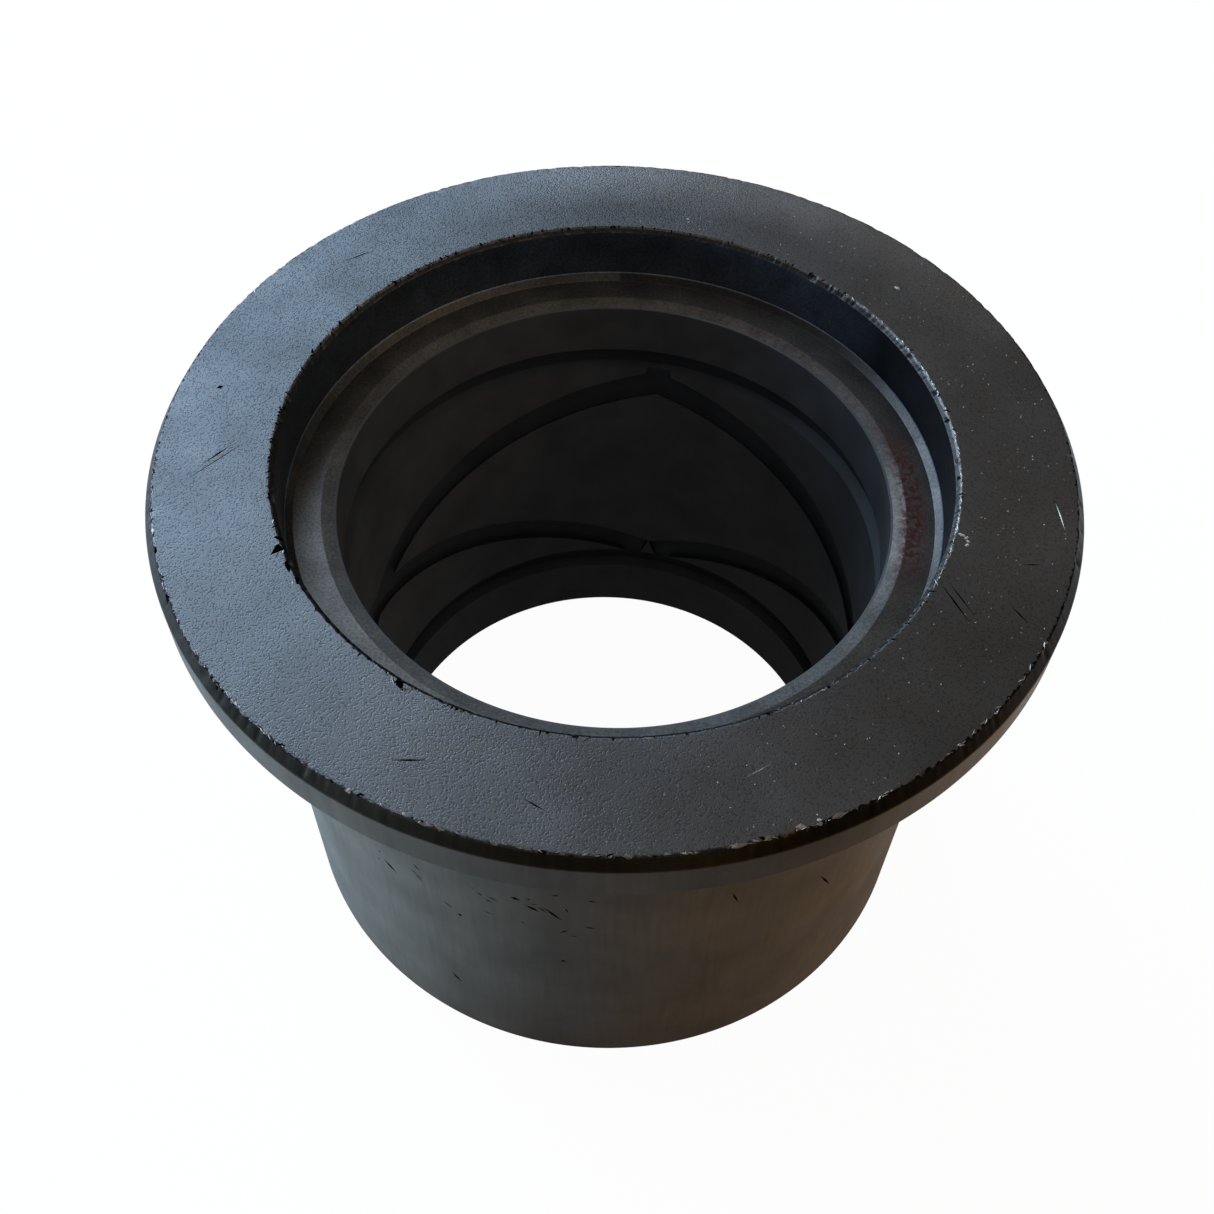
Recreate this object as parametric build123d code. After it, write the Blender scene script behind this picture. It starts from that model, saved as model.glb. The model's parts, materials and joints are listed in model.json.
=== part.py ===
from build123d import *
import math
import os

# A collar bushing, turned from one piece of steel, for a large pivot pin.
# The axis is Z, the plain end stands on z = 0 and the collar is at the top.
# All sizes are in millimetres.

# Pin bore
BORE_DIAMETER = 100.0
BORE_LEAD_WIDTH = 2.7
BORE_LEAD_DROP = 0.6
BORE_END_CHAMFER = 2.6

# Turned outside, 135 across the body and 162 across the collar
WALL_THICKNESS = 17.5
COLLAR_OVERHANG = 13.5
OVERALL_LENGTH = 111.0
COLLAR_THICKNESS = 9.0
COLLAR_EDGE_WIDTH = 1.5
COLLAR_EDGE_DROP = 2.3
COLLAR_ROOT_RADIUS = 0.8
END_CHAMFER = 0.8

# Seat for a dust seal 118 across, sunk into the collar
SEAL_SHELF_WIDTH = 9.0
SEAL_SEAT_DEPTH = 12.0
SEAL_LIP_CHAMFER = 0.85
SEAL_FOOT_CHAMFER = 1.3

# Grease grooves: two rings, and two zigzags that cross each other between them
GROOVE_WIDTH = 6.0
GROOVE_FLOOR_WIDTH = 3.6
GROOVE_DEPTH = 2.0
UPPER_RING_FROM_SHELF = 14.5
LOWER_RING_FROM_END = 19.0
ZIGZAG_INTO_RING = 1.0
ZIGZAG_TURN = 80.0

# How far the grooves' cutter reaches into the open bore
CUTTER_CLEARANCE = 1.0

# What follows from them
BORE_RADIUS = BORE_DIAMETER / 2
BODY_RADIUS = BORE_RADIUS + WALL_THICKNESS
COLLAR_RADIUS = BODY_RADIUS + COLLAR_OVERHANG
COLLAR_UNDERSIDE_Z = OVERALL_LENGTH - COLLAR_THICKNESS
SEAL_SEAT_RADIUS = BORE_RADIUS + SEAL_SHELF_WIDTH
SHELF_Z = OVERALL_LENGTH - SEAL_SEAT_DEPTH
GROOVE_FLOOR_RADIUS = BORE_RADIUS + GROOVE_DEPTH
UPPER_RING_Z = SHELF_Z - UPPER_RING_FROM_SHELF
LOWER_RING_Z = LOWER_RING_FROM_END
ZIGZAG_FROM_RING = GROOVE_WIDTH - ZIGZAG_INTO_RING
ZIGZAG_TOP_Z = UPPER_RING_Z - ZIGZAG_FROM_RING
ZIGZAG_FOOT_Z = LOWER_RING_Z + ZIGZAG_FROM_RING


def turned_section():
    """Half of the lengthwise section, to the right of the axis."""
    outline = Polyline(
        (BORE_RADIUS + BORE_END_CHAMFER, 0),
        (BODY_RADIUS - END_CHAMFER, 0),
        (BODY_RADIUS, END_CHAMFER),
        (BODY_RADIUS, COLLAR_UNDERSIDE_Z),
        (COLLAR_RADIUS, COLLAR_UNDERSIDE_Z),
        (COLLAR_RADIUS, OVERALL_LENGTH - COLLAR_EDGE_DROP),
        (COLLAR_RADIUS - COLLAR_EDGE_WIDTH, OVERALL_LENGTH),
        (SEAL_SEAT_RADIUS + SEAL_LIP_CHAMFER, OVERALL_LENGTH),
        (SEAL_SEAT_RADIUS, OVERALL_LENGTH - SEAL_LIP_CHAMFER),
        (SEAL_SEAT_RADIUS, SHELF_Z + SEAL_FOOT_CHAMFER),
        (SEAL_SEAT_RADIUS - SEAL_FOOT_CHAMFER, SHELF_Z),
        (BORE_RADIUS + BORE_LEAD_WIDTH, SHELF_Z),
        (BORE_RADIUS, SHELF_Z - BORE_LEAD_DROP),
        (BORE_RADIUS, BORE_END_CHAMFER),
        close=True,
    )
    section = make_face(outline)
    root = section.vertices().sort_by_distance((BODY_RADIUS, COLLAR_UNDERSIDE_Z, 0))[0]
    return fillet(root, COLLAR_ROOT_RADIUS)


def blank():
    """The bushing as it comes off the lathe, before its grooves are cut."""
    return revolve(Plane.XZ * turned_section(), axis=Axis.Z)


def cutter_section():
    """The cutter's wedge, drawn from the bore's wall outwards, with its tip past the grooves' floor."""
    slope = (GROOVE_WIDTH - GROOVE_FLOOR_WIDTH) / 2 / GROOVE_DEPTH
    half_base = GROOVE_WIDTH / 2 + slope * CUTTER_CLEARANCE
    tip = GROOVE_WIDTH / 2 / slope
    outline = Polyline(
        (-CUTTER_CLEARANCE, -half_base),
        (-CUTTER_CLEARANCE, half_base),
        (tip, 0),
        close=True,
    )
    return make_face(outline)


def ring_path(height):
    """What the cutter sweeps in one turn at a height."""
    return revolve(Plane.XZ * Pos(BORE_RADIUS, height) * cutter_section(), axis=Axis.Z)


def zigzag_leg(foot_turn, lefthand):
    """What the cutter sweeps up half a turn, run on at both ends until two legs fill their corner."""
    climb = ZIGZAG_TOP_Z - ZIGZAG_FOOT_Z
    half_round = math.pi * BORE_RADIUS
    overrun = GROOVE_WIDTH / 2 * climb / half_round
    rise = climb * overrun / half_round
    path = Helix(2 * climb, climb + 2 * rise, BORE_RADIUS, lefthand=lefthand)
    wall = Plane(origin=path @ 0, x_dir=(1, 0, 0), z_dir=path % 0)
    leg = sweep(wall * cutter_section(), path=path, is_frenet=True)
    overrun_turn = math.degrees(overrun / BORE_RADIUS)
    start_turn = foot_turn + (overrun_turn if lefthand else -overrun_turn)
    return Pos(0, 0, ZIGZAG_FOOT_Z - rise) * Rot(0, 0, start_turn) * leg


def grooves():
    """The grease grooves as solids, each stopped at the floor that they share.

    On each half of the bore two legs cross, one rising to the left and one to the right.
    """
    reach = Pos(0, 0, OVERALL_LENGTH / 2) * Cylinder(GROOVE_FLOOR_RADIUS, OVERALL_LENGTH)
    paths = [ring_path(UPPER_RING_Z), ring_path(LOWER_RING_Z)]
    for half_turn in (0, 180):
        paths.append(zigzag_leg(ZIGZAG_TURN + half_turn + 180, lefthand=True))
        paths.append(zigzag_leg(ZIGZAG_TURN + half_turn, lefthand=False))
    return [path & reach for path in paths]


def collar_bushing():
    """The finished bushing: the blank less its two rings and its two crossing zigzags."""
    bushing = blank()
    for groove in grooves():
        bushing = bushing - groove
    return bushing


os.makedirs("parts", exist_ok=True)
export_step(collar_bushing(), "parts/collar_bushing.step")
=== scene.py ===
import json
import math
import random

import bpy
from mathutils import Matrix, Vector


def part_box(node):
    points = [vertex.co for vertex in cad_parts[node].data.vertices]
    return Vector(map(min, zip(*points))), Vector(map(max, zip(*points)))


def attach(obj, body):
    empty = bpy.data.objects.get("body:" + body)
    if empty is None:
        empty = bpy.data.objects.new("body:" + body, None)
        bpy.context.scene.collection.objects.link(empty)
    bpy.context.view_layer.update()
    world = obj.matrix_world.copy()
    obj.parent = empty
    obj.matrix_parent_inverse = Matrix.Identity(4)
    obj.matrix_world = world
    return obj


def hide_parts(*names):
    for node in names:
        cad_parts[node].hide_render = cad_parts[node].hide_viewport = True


bl_info = {
    "name": "Collar Bushing",
    "version": (1, 0, 0),
    "blender": (4, 5, 0),
    "location": "3D View > Sidebar > Bushing",
    "description": "Dresses a turned collar bushing with its finish, its wear and a plain studio",
    "category": "Object",
}

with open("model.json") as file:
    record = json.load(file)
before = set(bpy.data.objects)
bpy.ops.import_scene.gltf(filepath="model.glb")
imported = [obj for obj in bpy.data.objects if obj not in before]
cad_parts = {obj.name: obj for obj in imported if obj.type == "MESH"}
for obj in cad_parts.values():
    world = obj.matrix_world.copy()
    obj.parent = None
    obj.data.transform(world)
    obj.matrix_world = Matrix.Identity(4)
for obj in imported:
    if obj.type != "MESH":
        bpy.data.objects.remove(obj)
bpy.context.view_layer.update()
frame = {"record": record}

MM = 0.001
NODE = "collar_bushing"
BODY = "root"


def mount(name):
    """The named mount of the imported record."""
    return next(m for m in frame["record"]["mounts"] if m["name"] == name)


def mount_radius(name):
    """A bore's or a pin's radius, in metres."""
    return mount(name)["dims"]["r_mm"] * MM


def mount_height(name):
    """How high a mount lies over the plain end, in metres."""
    return mount(name)["pos_m"][2]


def linear(hex_colour):
    """An sRGB hex colour as linear red, green and blue."""
    parts = [int(hex_colour[i:i + 2], 16) / 255 for i in (1, 3, 5)]
    return tuple(c / 12.92 if c <= 0.04045 else ((c + 0.055) / 1.055) ** 2.4 for c in parts)


def add(tree, kind, inputs=None, **settings):
    """Add one node with its settings; each input is a value or the socket that feeds it."""
    node = tree.nodes.new(kind)
    for name, value in settings.items():
        setattr(node, name, value)
    for key, value in (inputs or {}).items():
        if isinstance(value, bpy.types.NodeSocket):
            tree.links.new(value, node.inputs[key])
        else:
            node.inputs[key].default_value = value
    return node


# Sizes and colours that a user would change

# The part's far corner, in metres
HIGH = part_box(NODE)[1]


class BushingSizes(bpy.types.PropertyGroup):
    """The turned form and its grease grooves."""

    collar_radius: bpy.props.FloatProperty(
        name="Collar radius", description="Outside radius of the collar",
        default=HIGH[0], unit="LENGTH")
    height: bpy.props.FloatProperty(
        name="Height", description="From the plain end to the collar's face",
        default=HIGH[2], unit="LENGTH")
    body_radius: bpy.props.FloatProperty(
        name="Body radius", description="Outside radius of the body under the collar",
        default=mount_radius("housing_fit"), unit="LENGTH")
    underside: bpy.props.FloatProperty(
        name="Collar underside", description="Height of the collar's lower face",
        default=mount_height("collar_underside"), unit="LENGTH")
    seat_radius: bpy.props.FloatProperty(
        name="Seal seat radius", description="Inside radius of the seat for the dust seal",
        default=mount_radius("seal_seat"), unit="LENGTH")
    bore_radius: bpy.props.FloatProperty(
        name="Bore radius", description="Radius of the pin's bore",
        default=mount_radius("pin_bore"), unit="LENGTH")
    shelf: bpy.props.FloatProperty(
        name="Shelf height", description="Height of the shelf that the dust seal stands on",
        default=0.099, unit="LENGTH")
    groove_width: bpy.props.FloatProperty(
        name="Groove width", description="Width of a grease groove at the bore's wall",
        default=0.006, unit="LENGTH")
    groove_floor: bpy.props.FloatProperty(
        name="Groove floor", description="Width of a grease groove at its floor",
        default=0.0036, unit="LENGTH")
    groove_depth: bpy.props.FloatProperty(
        name="Groove depth", description="Depth of the grease grooves",
        default=0.002, unit="LENGTH")
    upper_ring: bpy.props.FloatProperty(
        name="Upper ring", description="Height of the upper ring groove",
        default=0.0845, unit="LENGTH")
    lower_ring: bpy.props.FloatProperty(
        name="Lower ring", description="Height of the lower ring groove",
        default=0.019, unit="LENGTH")
    zigzag_turn: bpy.props.FloatProperty(
        name="Zigzag turn", description="Where the crossing grooves have their feet",
        default=math.radians(80), subtype="ANGLE")
    columns: bpy.props.IntProperty(
        name="Columns", description="Faces round the turned form", default=1151, min=90)


class BushingFinish(bpy.types.PropertyGroup):
    """The finish and its wear, and the colours that paint light and shade on it."""

    phosphate: bpy.props.FloatVectorProperty(
        name="Phosphate", description="The black coat on the collar's face",
        subtype="COLOR", default=linear("#4c4d4e"))
    seat: bpy.props.FloatVectorProperty(
        name="Seal seat", description="The coat in the seal's seat",
        subtype="COLOR", default=linear("#403d3a"))
    wall: bpy.props.FloatVectorProperty(
        name="Seal wall", description="The coat on the wall round the seal",
        subtype="COLOR", default=linear("#3b4149"))
    # Painted warm light: the face's right is browner to stand in for the warm light that falls there
    warm_lit_face: bpy.props.FloatVectorProperty(
        name="Warm-lit face", description="The coat on the face's right, browner as painted warm light",
        subtype="COLOR", default=linear("#4b4846"))
    # The side's three colours are mixed by angle as painted light: a lighter grey at the left and back,
    # a darker near middle as painted shade, and a painted warm reflection at the right
    side: bpy.props.FloatVectorProperty(
        name="Side", description="The coat on the body's left",
        subtype="COLOR", default=linear("#5f6159"))
    shaded: bpy.props.FloatVectorProperty(
        name="Middle of the side", description="The coat on the body's near side",
        subtype="COLOR", default=linear("#352f27"))
    # The brown here is a painted warm reflection
    oil: bpy.props.FloatVectorProperty(
        name="Warm-lit side", description="The coat on the body's right, brown as a painted warm reflection",
        subtype="COLOR", default=linear("#664818"))
    bore: bpy.props.FloatVectorProperty(
        name="Bore", description="The oil-soaked coat in the bore",
        subtype="COLOR", default=linear("#3e3e40"))
    dirt: bpy.props.FloatVectorProperty(
        name="Dirt", description="Old oil and dirt in the knocks",
        subtype="COLOR", default=linear("#070707"))
    grease: bpy.props.FloatVectorProperty(
        name="Grease", description="Old grease in the grooves",
        subtype="COLOR", default=linear("#2d2f33"))
    rust: bpy.props.FloatVectorProperty(
        name="Rust", description="Thin reddish rust in the seal's seat",
        subtype="COLOR", default=linear("#43201b"))
    pale: bpy.props.FloatVectorProperty(
        name="Grit", description="Dried grit stuck to the face",
        subtype="COLOR", default=linear("#9a958a"))
    bare: bpy.props.FloatVectorProperty(
        name="Bare steel", description="Steel bared by knocks",
        subtype="COLOR", default=linear("#8c8780"))
    lip_wear: bpy.props.FloatProperty(
        name="Lip wear", description="How deep the seal's lip is knocked ragged",
        default=0.0005, unit="LENGTH")
    edge_wear: bpy.props.FloatProperty(
        name="Edge wear", description="How deep the collar's edge is knocked ragged",
        default=0.00035, unit="LENGTH")
    seed: bpy.props.IntProperty(
        name="Seed", description="Start of the random draws for the wear", default=7)


class BushingStage(bpy.types.PropertyGroup):
    """Floor, lights and camera."""

    floor_radius: bpy.props.FloatProperty(
        name="Floor radius", description="Radius of the plain floor", default=2.0, unit="LENGTH")
    window_power: bpy.props.FloatProperty(
        name="Window power", description="Power of the large cool softbox, in watts", default=60.0)
    side_power: bpy.props.FloatProperty(
        name="Side power", description="Power of the cool softbox at the left, in watts",
        default=11.0)
    fill_power: bpy.props.FloatProperty(
        name="Fill power", description="Power of the dim warm softbox, in watts", default=3.0)


# The turned form

# A face above this many square metres lies on a flat or a straight wall, and is shaded flat
LONG_FACE = 0.45 * MM * MM

# An edge that turns more than this is shaded sharp
SHARP = math.radians(32)

# Chamfers of the turned section: the bore's foot, the body's foot, the collar's edge, the seal's
# lip, the seat's foot and the bore's lead
BORE_FOOT = 2.6 * MM
BODY_FOOT = 0.8 * MM
EDGE_WIDTH = 1.5 * MM
EDGE_DROP = 2.3 * MM
LIP_CHAMFER = 0.85 * MM
SEAT_FOOT = 1.3 * MM
LEAD_WIDTH = 2.7 * MM
LEAD_DROP = 0.6 * MM

# How round its worn corners are: the collar's edge, the lip above and below its chamfer, and the
# lead above and below its slope
EDGE_ROUNDING = 0.25 * MM
LIP_ROUNDING = (0.2 * MM, 0.3 * MM)
LEAD_ROUNDING = (0.2 * MM, 0.15 * MM)

# How far from a rounded corner the section has points that hold its flats flat, as long as they lie
# within this share of the flat
SUPPORTS = (0.4 * MM, 1.1 * MM, 1.7 * MM)
SUPPORTED = 0.45

# The section's points down the bore, which let its grooves be cut cleanly: how many and how far apart
BORE_POINTS = 7
BORE_STEP = 12 * MM

# The kinds of cut, each with its own finish
CUTS = ("nick", "bare", "groove")

# How the knocked edges are ragged: the amount and the radius they follow, which way they are pushed,
# how far past that radius and how far down the wear is deepest, how far it reaches from there, and
# the scales of its coarse and its fine bites round a circle of radius one
WEAR = (
    ("Lip wear", "Seat radius", 1.0, 0.45 * MM, 0.45 * MM, 0.9 * MM, 31.2, 90.0),
    ("Edge wear", "Collar radius", -1.0, -1.2 * MM, 0.9 * MM, 2.0 * MM, 19.8, 60.0),
)

# Between which values of the noise a bite goes from none to full, and how far it drags down with it
BITE = (0.24, 0.5)
DRAG = -0.6

# How far each finish runs on: the seat's past the lip, the bore's past its wall and up its foot, and
# the face's down over the rounded corners beside it
SEAT_REACH = 1.0 * MM
BORE_REACH = 0.3 * MM
FOOT_REACH = 2.7 * MM
FACE_REACH = 0.25 * MM

# The grooves' cutter: how far it starts inside the bore's wall, how much wider it is there, how far
# the zigzags' corners lie from the rings, and the points round a ring and along a leg
CLEARANCE = 1.0 * MM
WEDGE_FLARE = 1.2 * MM
ZIGZAG_FROM_RING = 5.0 * MM
RING_POINTS = 719
LEG_POINTS = 367


def section_corners(sizes):
    """The lengthwise section's corners: radius, height and rounding, in metres."""
    top, base = sizes.height, 0.0
    collar, body = sizes.collar_radius, sizes.body_radius
    seat, bore, shelf = sizes.seat_radius, sizes.bore_radius, sizes.shelf
    return [
        (bore + BORE_FOOT, base, 0.0),
        (body - BODY_FOOT, base, 0.0),
        (body, BODY_FOOT, 0.0),
        (body, sizes.underside, 0.0),
        (collar, sizes.underside, 0.0),
        (collar, top - EDGE_DROP, EDGE_ROUNDING),
        (collar - EDGE_WIDTH, top, EDGE_ROUNDING),
        (seat + LIP_CHAMFER, top, LIP_ROUNDING[0]),
        (seat, top - LIP_CHAMFER, LIP_ROUNDING[1]),
        (seat, shelf + SEAT_FOOT, 0.0),
        (seat - SEAT_FOOT, shelf, 0.0),
        (bore + LEAD_WIDTH, shelf, LEAD_ROUNDING[0]),
        (bore, shelf - LEAD_DROP, LEAD_ROUNDING[1]),
        *((bore, shelf - BORE_STEP * step, 0.0) for step in range(1, BORE_POINTS + 1)),
        (bore, BORE_FOOT, 0.0),
    ]


def section_object(sizes):
    """The section as a closed line, with points beside each rounded corner that keep the flats flat."""
    corners = section_corners(sizes)
    points, rounding = [], []
    for i, (radius, height, round_off) in enumerate(corners):
        here = Vector((radius, 0, height))
        around = [[], []]
        if round_off:
            for side, other in enumerate((corners[i - 1], corners[(i + 1) % len(corners)])):
                along = Vector((other[0], 0, other[1])) - here
                for distance in SUPPORTS:
                    if distance < along.length * SUPPORTED:
                        around[side].append(here + along.normalized() * distance)
        line = [*reversed(around[0]), here, *around[1]]
        points += line
        rounding += [round_off if point is here else 0.0 for point in line]
    mesh = bpy.data.meshes.new("section")
    count = len(points)
    mesh.from_pydata(points, [(i, (i + 1) % count) for i in range(count)], [])
    attribute = mesh.attributes.new("rounding", "FLOAT", "POINT")
    attribute.data.foreach_set("value", rounding)
    section = bpy.data.objects.new("section", mesh)
    bpy.context.collection.objects.link(section)
    return section


def group_input(tree, name, kind):
    """A named input of a node tree."""
    tree.interface.new_socket(name, in_out="INPUT", socket_type=kind)


def turned_tree(materials, layers):
    """Turns the section round Z, ruffles its knocked edges and cuts the grooves and the marks."""
    tree = bpy.data.node_groups.new("turn the bushing", "GeometryNodeTree")
    group_input(tree, "Section", "NodeSocketGeometry")
    for name in ("Turning radius", "Height", "Bore radius", "Seat radius", "Collar radius",
                 "Groove width", "Groove floor", "Groove depth", "Upper ring", "Lower ring",
                 "Zigzag turn", "Lip wear", "Edge wear"):
        group_input(tree, name, "NodeSocketFloat")
    group_input(tree, "Columns", "NodeSocketInt")
    group_input(tree, "Marks", "NodeSocketObject")
    tree.interface.new_socket("Bushing", in_out="OUTPUT", socket_type="NodeSocketGeometry")
    given = tree.nodes.new("NodeGroupInput").outputs
    out = tree.nodes.new("NodeGroupOutput")

    # The section, moved into the plane that Curve to Mesh wants
    line = add(tree, "GeometryNodeMeshToCurve", {"Mesh": given["Section"]})
    rounding = add(tree, "GeometryNodeInputNamedAttribute", {"Name": "rounding"})
    rounded = add(tree, "GeometryNodeFilletCurve", {
        "Curve": line.outputs[0], "Count": 2, "Radius": rounding.outputs[0],
        "Limit Radius": True}, mode="POLY")
    place = add(tree, "GeometryNodeInputPosition")
    axes = add(tree, "ShaderNodeSeparateXYZ", {0: place.outputs[0]})
    inset = add(tree, "ShaderNodeMath", {0: axes.outputs[0], 1: given["Turning radius"]},
                operation="SUBTRACT")
    down = add(tree, "ShaderNodeMath", {0: axes.outputs[2], 1: -1.0}, operation="MULTIPLY")
    flat = add(tree, "ShaderNodeCombineXYZ", {0: inset.outputs[0], 1: down.outputs[0]})
    profile = add(tree, "GeometryNodeSetPosition", {
        "Geometry": rounded.outputs[0], "Position": flat.outputs[0]})
    circle = add(tree, "GeometryNodeCurvePrimitiveCircle", {
        "Resolution": given["Columns"], "Radius": given["Turning radius"]})
    turned = add(tree, "GeometryNodeCurveToMesh", {
        "Curve": circle.outputs[0], "Profile Curve": profile.outputs[0]})
    outward = add(tree, "GeometryNodeFlipFaces", {"Mesh": turned.outputs[0]})
    worn = ruffle(tree, given, outward.outputs[0])
    dressed = dress_regions(tree, given, worn, materials)
    cut = add(tree, "GeometryNodeMeshBoolean", {"Mesh 1": dressed}, operation="DIFFERENCE",
              solver="MANIFOLD")
    for cutter in (*groove_cutters(tree, given), *mark_cutters(tree, given, layers)):
        tree.links.new(cutter, cut.inputs["Mesh 2"])
    finished = cut.outputs[0]
    kind = add(tree, "GeometryNodeInputNamedAttribute", {"Name": "cut"}, data_type="INT")
    for number, name in enumerate(CUTS, 1):
        same = add(tree, "FunctionNodeCompare", {"A": kind.outputs[0], "B": number},
                   operation="EQUAL", data_type="INT")
        finished = add(tree, "GeometryNodeSetMaterial", {
            "Geometry": finished, "Selection": same.outputs[0],
            "Material": materials[name]}).outputs[0]
    long_face = add(tree, "GeometryNodeInputNamedAttribute", {"Name": "long"}, data_type="BOOLEAN")
    curved = add(tree, "FunctionNodeBooleanMath", {0: long_face.outputs[0]}, operation="NOT")
    smooth = add(tree, "GeometryNodeSetShadeSmooth", {
        "Geometry": finished, "Shade Smooth": curved.outputs[0]}, domain="FACE")
    angle = add(tree, "GeometryNodeInputMeshEdgeAngle")
    sharp = add(tree, "FunctionNodeCompare", {0: angle.outputs[0], 1: SHARP},
                operation="GREATER_THAN", data_type="FLOAT")
    edged = add(tree, "GeometryNodeSetShadeSmooth", {
        "Geometry": smooth.outputs[0], "Selection": sharp.outputs[0], "Shade Smooth": False},
        domain="EDGE")
    real = add(tree, "GeometryNodeRealizeInstances", {"Geometry": edged.outputs[0]})
    tree.links.new(real.outputs[0], out.inputs[0])
    return tree


def from_axis(tree, place):
    """A place's level offset from the axis, and how long that is."""
    level = add(tree, "ShaderNodeVectorMath", {0: place, 1: (1, 1, 0)}, operation="MULTIPLY")
    length = add(tree, "ShaderNodeVectorMath", {0: level.outputs[0]}, operation="LENGTH")
    return level.outputs[0], length.outputs["Value"]


def ruffle(tree, given, mesh):
    """Push the knocked edges in and out, most at the seal's lip and less at the collar's edge."""
    place = add(tree, "GeometryNodeInputPosition")
    axes = add(tree, "ShaderNodeSeparateXYZ", {0: place.outputs[0]})
    level, radius = from_axis(tree, place.outputs[0])
    outward = add(tree, "ShaderNodeVectorMath", {0: level}, operation="NORMALIZE")
    below = add(tree, "ShaderNodeMath", {0: given["Height"], 1: axes.outputs[2]},
                operation="SUBTRACT")
    offsets = []
    for amount, followed, way, past, down, reach, coarse_scale, fine_scale in WEAR:
        from_radius = add(tree, "ShaderNodeMath", {0: radius, 1: given[followed]},
                          operation="SUBTRACT")
        across = add(tree, "ShaderNodeMath", {0: from_radius.outputs[0], 1: past},
                     operation="SUBTRACT")
        sunk = add(tree, "ShaderNodeMath", {0: below.outputs[0], 1: down}, operation="SUBTRACT")
        gap = add(tree, "ShaderNodeCombineXYZ", {0: across.outputs[0], 1: sunk.outputs[0]})
        away = add(tree, "ShaderNodeVectorMath", {0: gap.outputs[0]}, operation="LENGTH")
        near = add(tree, "ShaderNodeMapRange", {
            "Value": away.outputs["Value"], "From Min": 0.0, "From Max": reach,
            "To Min": 1.0, "To Max": 0.0}, interpolation_type="SMOOTHSTEP")
        coarse = add(tree, "ShaderNodeTexNoise", {
            "Vector": outward.outputs[0], "Scale": coarse_scale, "Detail": 2.0})
        fine = add(tree, "ShaderNodeTexNoise", {
            "Vector": outward.outputs[0], "Scale": fine_scale, "Detail": 1.0})
        both = add(tree, "ShaderNodeMath", {0: coarse.outputs[0], 1: fine.outputs[0]},
                   operation="MULTIPLY")
        bite = add(tree, "ShaderNodeMapRange", {
            "Value": both.outputs[0], "From Min": BITE[0], "From Max": BITE[1]})
        bitten = add(tree, "ShaderNodeMath", {0: bite.outputs[0], 1: near.outputs[0]},
                     operation="MULTIPLY")
        deep = add(tree, "ShaderNodeMath", {0: bitten.outputs[0], 1: given[amount]},
                   operation="MULTIPLY")
        sideways = add(tree, "ShaderNodeVectorMath", {0: outward.outputs[0], "Scale": way},
                       operation="SCALE")
        slanted = add(tree, "ShaderNodeVectorMath", {0: sideways.outputs[0], 1: (0, 0, DRAG)},
                      operation="ADD")
        push = add(tree, "ShaderNodeVectorMath", {0: slanted.outputs[0], "Scale": deep.outputs[0]},
                   operation="SCALE")
        offsets.append(push.outputs[0])
    total = add(tree, "ShaderNodeVectorMath", {0: offsets[0], 1: offsets[1]}, operation="ADD")
    return add(tree, "GeometryNodeSetPosition", {
        "Geometry": mesh, "Offset": total.outputs[0]}).outputs[0]


def dress_regions(tree, given, mesh, materials):
    """Give each stretch of the section its own finish, and note which faces are its long ones."""
    place = add(tree, "GeometryNodeInputPosition")
    axes = add(tree, "ShaderNodeSeparateXYZ", {0: place.outputs[0]})
    _, radius = from_axis(tree, place.outputs[0])
    lip = add(tree, "ShaderNodeMath", {0: given["Seat radius"], 1: SEAT_REACH}, operation="ADD")
    inside = add(tree, "FunctionNodeCompare", {0: radius, 1: lip.outputs[0]},
                 operation="LESS_THAN", data_type="FLOAT")
    wall = add(tree, "ShaderNodeMath", {0: given["Bore radius"], 1: BORE_REACH}, operation="ADD")
    on_wall = add(tree, "FunctionNodeCompare", {0: radius, 1: wall.outputs[0]},
                  operation="LESS_THAN", data_type="FLOAT")
    low_down = add(tree, "FunctionNodeCompare", {0: axes.outputs[2], 1: FOOT_REACH},
                   operation="LESS_THAN", data_type="FLOAT")
    on_foot = add(tree, "FunctionNodeBooleanMath", {0: inside.outputs[0], 1: low_down.outputs[0]},
                  operation="AND")
    in_bore = add(tree, "FunctionNodeBooleanMath", {0: on_wall.outputs[0], 1: on_foot.outputs[0]},
                  operation="OR")
    under_top = add(tree, "ShaderNodeMath", {0: given["Height"], 1: FACE_REACH},
                    operation="SUBTRACT")
    on_top = add(tree, "FunctionNodeCompare", {0: axes.outputs[2], 1: under_top.outputs[0]},
                 operation="GREATER_THAN", data_type="FLOAT")
    dressed = add(tree, "GeometryNodeSetMaterial", {
        "Geometry": mesh, "Material": materials["side"]}).outputs[0]
    for name, chosen in (("seat", inside), ("bore", in_bore), ("face", on_top)):
        dressed = add(tree, "GeometryNodeSetMaterial", {
            "Geometry": dressed, "Selection": chosen.outputs[0],
            "Material": materials[name]}).outputs[0]
    area = add(tree, "GeometryNodeInputMeshFaceArea")
    is_long = add(tree, "FunctionNodeCompare", {0: area.outputs[0], 1: LONG_FACE},
                  operation="GREATER_THAN", data_type="FLOAT")
    return add(tree, "GeometryNodeStoreNamedAttribute", {
        "Geometry": dressed, "Name": "long", "Value": is_long.outputs[0]},
        data_type="BOOLEAN", domain="FACE").outputs[0]


def mark_faces(tree, geometry, name, selection=True):
    """Note on the faces which kind of cut they make, so that what is cut gets its finish."""
    return add(tree, "GeometryNodeStoreNamedAttribute", {
        "Geometry": geometry, "Selection": selection, "Name": "cut",
        "Value": CUTS.index(name) + 1}, data_type="INT", domain="FACE").outputs[0]


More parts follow.
